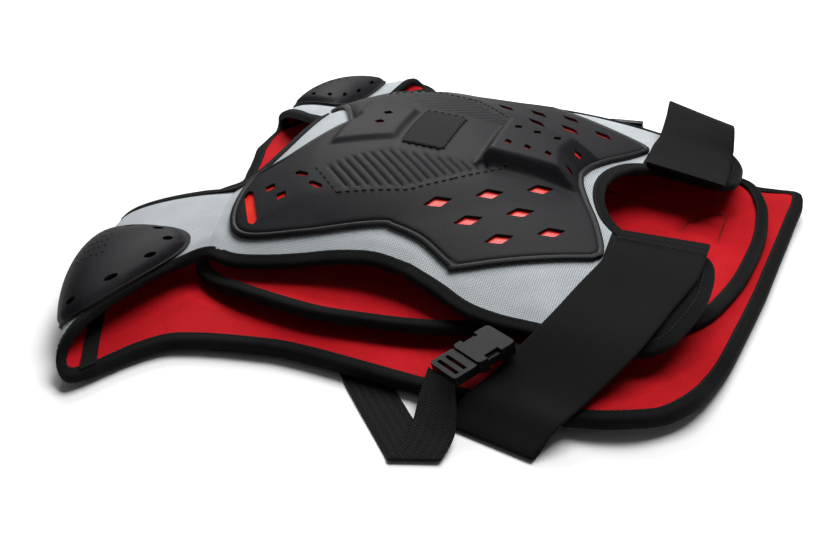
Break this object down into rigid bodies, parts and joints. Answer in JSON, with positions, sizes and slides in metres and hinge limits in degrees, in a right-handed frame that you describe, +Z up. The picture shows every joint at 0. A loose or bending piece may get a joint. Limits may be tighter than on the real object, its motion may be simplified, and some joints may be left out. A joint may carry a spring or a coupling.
{
  "type": "armoured vest",
  "caption": "Sleeveless armoured vest lying on its back: vented moulded chest plate on silver mesh, shoulder cups, red lining, black bindings and buckled side straps.",
  "frame": {"origin": "on the floor under the middle of the back panel", "axes": "+X from the shoulders to the hem, +Y across towards the wearer's left, +Z up off the floor"},
  "size_m": [0.5451, 0.6559, 0.1069],
  "materials": {
    "red_lining": "brushed red lining over foam",
    "black_binding": "matte folded tape",
    "silver_mesh": "pale silver knitted mesh",
    "black_loop": "matte brushed loop fabric",
    "black_shell": "satin moulded shell",
    "red_sheet": "glossy red sheet",
    "patch_rubber": "bare moulded patch",
    "black_elastic": "wide woven elastic",
    "black_webbing": "narrow woven webbing",
    "buckle_plastic": "satin moulded buckle"
  },
  "bodies": {
    "root": {"back_panel": "red_lining", "back_pad": "red_lining", "back_pad_binding": "black_binding", "front_panel": "silver_mesh", "side_tab_right": "black_loop", "side_tab_left": "black_loop", "chest_plate": "black_shell", "vent_liner": "red_sheet", "chest_patch": "patch_rubber", "neck_binding": "black_binding", "hem_binding": "black_binding", "back_binding": "black_binding", "arm_binding_right": "black_binding", "arm_binding_left": "black_binding", "shoulder_strap_right": "silver_mesh", "shoulder_strap_left": "silver_mesh", "shoulder_cup_right": "black_shell", "shoulder_cup_left": "black_shell", "waist_strap_right": "black_elastic", "waist_strap_left": "black_elastic", "webbing_right": "black_webbing", "webbing_left": "black_webbing", "buckle_loop_right": "black_webbing", "buckle_loop_left": "black_webbing", "buckle_socket_right": "buckle_plastic", "buckle_socket_left": "buckle_plastic", "buckle_plug_right": "buckle_plastic", "buckle_plug_left": "buckle_plastic"}
  },
  "joints": []
}
